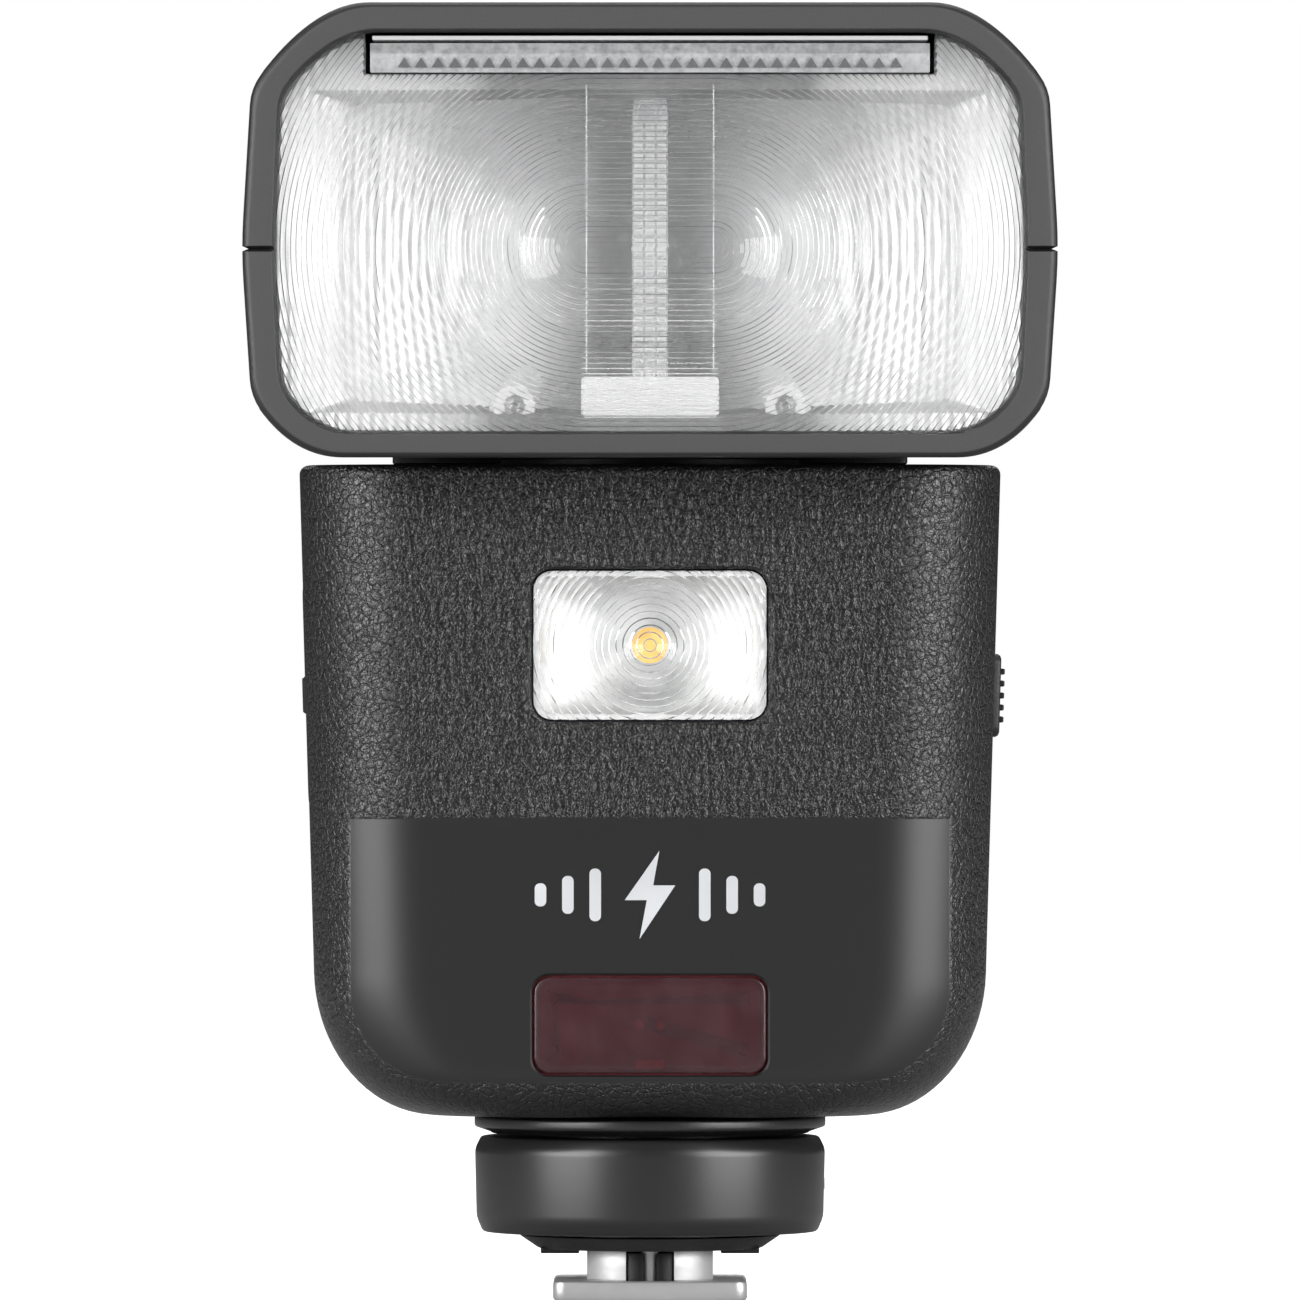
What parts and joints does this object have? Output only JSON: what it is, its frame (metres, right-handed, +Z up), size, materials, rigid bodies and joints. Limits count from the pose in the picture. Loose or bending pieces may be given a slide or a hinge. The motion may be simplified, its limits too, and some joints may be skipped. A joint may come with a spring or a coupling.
{
  "type": "speedlight flash",
  "caption": "Compact on-camera flash: leather-grained battery body on a hot-shoe foot, with a swivelling, tilting lamp head behind a ringed Fresnel lens.",
  "frame": {"origin": "centre of the underside of the hot-shoe foot plate, the face that rests in the accessory shoe", "axes": "+Z up from the foot to the top of the head; the lamp faces -Y at rest; +X to the right seen from the lamp's side"},
  "size_m": [0.0772, 0.0543, 0.124],
  "materials": {
    "leather_grip": "moulded leather-grain plastic, dark charcoal, low sheen",
    "casing": "fine-grained mid-grey moulded plastic",
    "dark_plastic": "plain near-black moulded plastic",
    "satin_black": "smooth satin black plastic",
    "display_glass": "smoked gloss acrylic",
    "display_panel": "unlit display",
    "clear_optic": "clear moulded acrylic with fine optical grooves",
    "tube_glass": "clear quartz glass",
    "red_window": "dark red translucent acrylic",
    "red_plastic": "red translucent plastic",
    "white_plastic": "white plastic",
    "reflector_metal": "bright anodised reflector sheet",
    "foot_metal": "bright polished steel",
    "steel": "plain steel",
    "contact_gold": "gold-plated spring contact",
    "led_phosphor": "yellow-orange phosphor over a white board",
    "circuit_board": "green circuit board",
    "battery_wrap": "blue shrink wrap",
    "rubber": "soft black rubber",
    "screw_steel": "blackened steel"
  },
  "bodies": {
    "body": {"body_front_shell": "leather_grip", "body_rear_cover": "leather_grip", "modelling_light_lens": "clear_optic", "modelling_light_reflector": "reflector_metal", "modelling_light_led": "led_phosphor", "af_assist_window": "red_window", "af_assist_emitter": "red_plastic", "display_window": "display_glass", "display_module": "display_panel", "main_board": "circuit_board", "battery_pack": "battery_wrap", "flash_capacitor": "dark_plastic", "usb_port": "steel", "sync_jack": "steel", "case_screw_1": "screw_steel", "case_screw_2": "screw_steel", "case_screw_3": "screw_steel", "case_screw_4": "screw_steel", "base_flange": "satin_black", "shoe_base": "dark_plastic", "shoe_plate": "foot_metal", "shoe_stem": "foot_metal", "contact_block": "dark_plastic"},
    "neck": {"neck_housing": "dark_plastic", "swivel_retainer": "steel"},
    "head": {"head_upper_shell": "casing", "head_lower_shell": "casing", "fresnel_lens": "clear_optic", "panel_guide": "dark_plastic", "tilt_axle_left": "steel", "tilt_axle_right": "steel", "zoom_motor": "steel", "guide_rod": "steel", "light_sensor_block": "white_plastic", "reflector_surround": "reflector_metal", "surround_screw_1": "steel", "surround_screw_2": "steel"},
    "zoom_carriage": {"carriage_frame": "dark_plastic", "reflector": "reflector_metal", "flash_tube": "tube_glass", "tube_cap_top": "steel", "tube_cap_bottom": "steel"},
    "leadscrew": {"zoom_leadscrew": "steel"},
    "panel": {"wide_panel": "clear_optic"},
    "card": {"bounce_card": "white_plastic"},
    "ring": {"lock_ring": "satin_black"},
    "pin": {"lock_pin": "foot_metal"},
    "cover": {"port_cover": "rubber"},
    "switch": {"power_switch": "dark_plastic"},
    "dial": {"control_dial": "dark_plastic"},
    "set_key": {"set_button": "satin_black"},
    "mode_key": {"mode_button": "satin_black"},
    "menu_key": {"menu_button": "satin_black"},
    "zoom_key": {"zoom_button": "satin_black"},
    "test_key": {"test_button": "red_plastic"},
    "contact_centre": {"centre_contact": "contact_gold"},
    "contact_1": {"data_contact_1": "contact_gold"},
    "contact_2": {"data_contact_2": "contact_gold"},
    "contact_3": {"data_contact_3": "contact_gold"},
    "contact_4": {"data_contact_4": "contact_gold"}
  },
  "joints": [
    {"name": "head_swivel", "type": "hinge", "parent": "body", "child": "neck", "pos_m": [0, 0.002, 0.08], "axis": [0, 0, 1], "range_deg": [-150, 180]},
    {"name": "head_tilt", "type": "hinge", "parent": "neck", "child": "head", "pos_m": [0, 0.009, 0.091], "axis": [-1, 0, 0], "range_deg": [0, 90]},
    {"name": "zoom_travel", "type": "slide", "parent": "head", "child": "zoom_carriage", "axis": [0, 1, 0], "range_m": [0, 0.008]},
    {"name": "leadscrew_spin", "type": "hinge", "parent": "head", "child": "leadscrew", "pos_m": [0.0318, -0.015, 0.1], "axis": [0, 1, 0], "range_deg": [0, 800]},
    {"name": "wide_panel_slide", "type": "slide", "parent": "head", "child": "panel", "axis": [0, -1, 0], "range_m": [0, 0.034]},
    {"name": "bounce_card_slide", "type": "slide", "parent": "head", "child": "card", "axis": [0, -1, 0], "range_m": [0, 0.034]},
    {"name": "lock_ring_turn", "type": "hinge", "parent": "body", "child": "ring", "pos_m": [0, 0, 0.011], "axis": [0, 0, 1], "range_deg": [0, 60]},
    {"name": "lock_pin_drop", "type": "slide", "parent": "body", "child": "pin", "axis": [0, 0, -1], "range_m": [0, 0.0016]},
    {"name": "port_cover_hinge", "type": "hinge", "parent": "body", "child": "cover", "pos_m": [-0.03291, -0.0079, 0.058], "axis": [-0.029, 0, 0.9996], "range_deg": [0, 110]},
    {"name": "power_switch_slide", "type": "slide", "parent": "body", "child": "switch", "axis": [0.029, 0, 0.9996], "range_m": [0, 0.0036]},
    {"name": "control_dial_turn", "type": "hinge", "parent": "body", "child": "dial", "pos_m": [0, 0.021, 0.0316], "axis": [0, 1, 0], "continuous": true},
    {"name": "set_button_press", "type": "slide", "parent": "body", "child": "set_key", "axis": [0, -1, 0], "range_m": [0, 0.0006], "stiffness_N_per_m": 500, "springref_m": -0.0006},
    {"name": "mode_button_press", "type": "slide", "parent": "body", "child": "mode_key", "axis": [0, -1, 0], "range_m": [0, 0.0006], "stiffness_N_per_m": 500, "springref_m": -0.0006},
    {"name": "menu_button_press", "type": "slide", "parent": "body", "child": "menu_key", "axis": [0, -1, 0], "range_m": [0, 0.0006], "stiffness_N_per_m": 500, "springref_m": -0.0006},
    {"name": "zoom_button_press", "type": "slide", "parent": "body", "child": "zoom_key", "axis": [0, -1, 0], "range_m": [0, 0.0006], "stiffness_N_per_m": 500, "springref_m": -0.0006},
    {"name": "test_button_press", "type": "slide", "parent": "body", "child": "test_key", "axis": [0, -1, 0], "range_m": [0, 0.0006], "stiffness_N_per_m": 500, "springref_m": -0.0006},
    {"name": "centre_contact_press", "type": "slide", "parent": "body", "child": "contact_centre", "axis": [0, 0, 1], "range_m": [0, 0.0005], "stiffness_N_per_m": 300, "springref_m": -0.001},
    {"name": "data_contact_1_press", "type": "slide", "parent": "body", "child": "contact_1", "axis": [0, 0, 1], "range_m": [0, 0.0005], "stiffness_N_per_m": 300, "springref_m": -0.001},
    {"name": "data_contact_2_press", "type": "slide", "parent": "body", "child": "contact_2", "axis": [0, 0, 1], "range_m": [0, 0.0005], "stiffness_N_per_m": 300, "springref_m": -0.001},
    {"name": "data_contact_3_press", "type": "slide", "parent": "body", "child": "contact_3", "axis": [0, 0, 1], "range_m": [0, 0.0005], "stiffness_N_per_m": 300, "springref_m": -0.001},
    {"name": "data_contact_4_press", "type": "slide", "parent": "body", "child": "contact_4", "axis": [0, 0, 1], "range_m": [0, 0.0005], "stiffness_N_per_m": 300, "springref_m": -0.001}
  ],
  "couplings": [
    {"joint": "leadscrew_spin", "follows": "zoom_travel", "rad_per_m": 1745.3},
    {"joint": "lock_pin_drop", "follows": "lock_ring_turn", "m_per_rad": 0.0015279}
  ]
}
